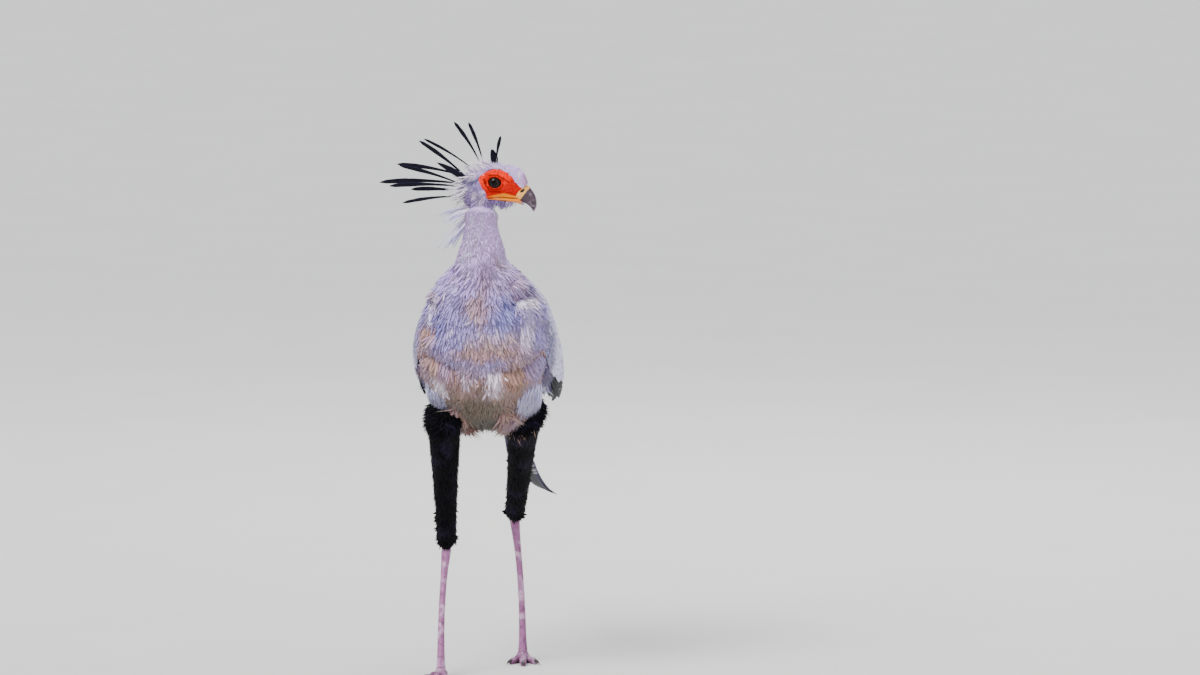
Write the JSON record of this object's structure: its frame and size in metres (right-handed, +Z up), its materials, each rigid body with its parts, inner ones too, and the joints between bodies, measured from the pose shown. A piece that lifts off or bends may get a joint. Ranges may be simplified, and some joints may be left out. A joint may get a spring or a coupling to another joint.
{
  "type": "secretary bird",
  "caption": "Life-size still model of a secretary bird walking, head turned to its left, crest raised, wings folded, long tail trailing.",
  "frame": {"origin": "middle of the bird's box on the floor, where the soles rest", "axes": "the bird walks towards -Y, its left side is +X, +Z is up"},
  "size_m": [0.3698, 1.164, 1.1705],
  "materials": {
    "body_feather": "soft lilac grey body feathers, streaked buff on the belly",
    "head_feather": "short pale grey feathers, bare orange face, black crest",
    "wing_feather": "blue grey coverts with pale edges, black flight feathers",
    "tail_feather": "grey tail feathers with a black band and pale tip",
    "black_feather": "matt black thigh feathers with a faint violet sheen",
    "pink_scute": "mauve pink scaled skin",
    "dark_horn": "smooth dark claw horn",
    "slate_horn": "slate brown bill with a pale yellow cere",
    "yellow_horn": "golden yellow lower bill, pale at the tip",
    "eye": "wet dark brown eye"
  },
  "bodies": {
    "root": {"torso": "body_feather", "neck_lower": "body_feather", "neck_upper": "body_feather", "head": "head_feather", "bill_upper": "slate_horn", "bill_lower": "yellow_horn", "eye_left": "eye", "eye_right": "eye", "wing_left": "wing_feather", "wing_right": "wing_feather", "tail": "tail_feather", "thigh_left": "black_feather", "shank_left": "pink_scute", "foot_left": "pink_scute", "claw_left_middle": "dark_horn", "claw_left_inner": "dark_horn", "claw_left_outer": "dark_horn", "claw_left_hind": "dark_horn", "thigh_right": "black_feather", "shank_right": "pink_scute", "foot_right": "pink_scute", "claw_right_middle": "dark_horn", "claw_right_inner": "dark_horn", "claw_right_outer": "dark_horn", "claw_right_hind": "dark_horn"}
  },
  "joints": []
}
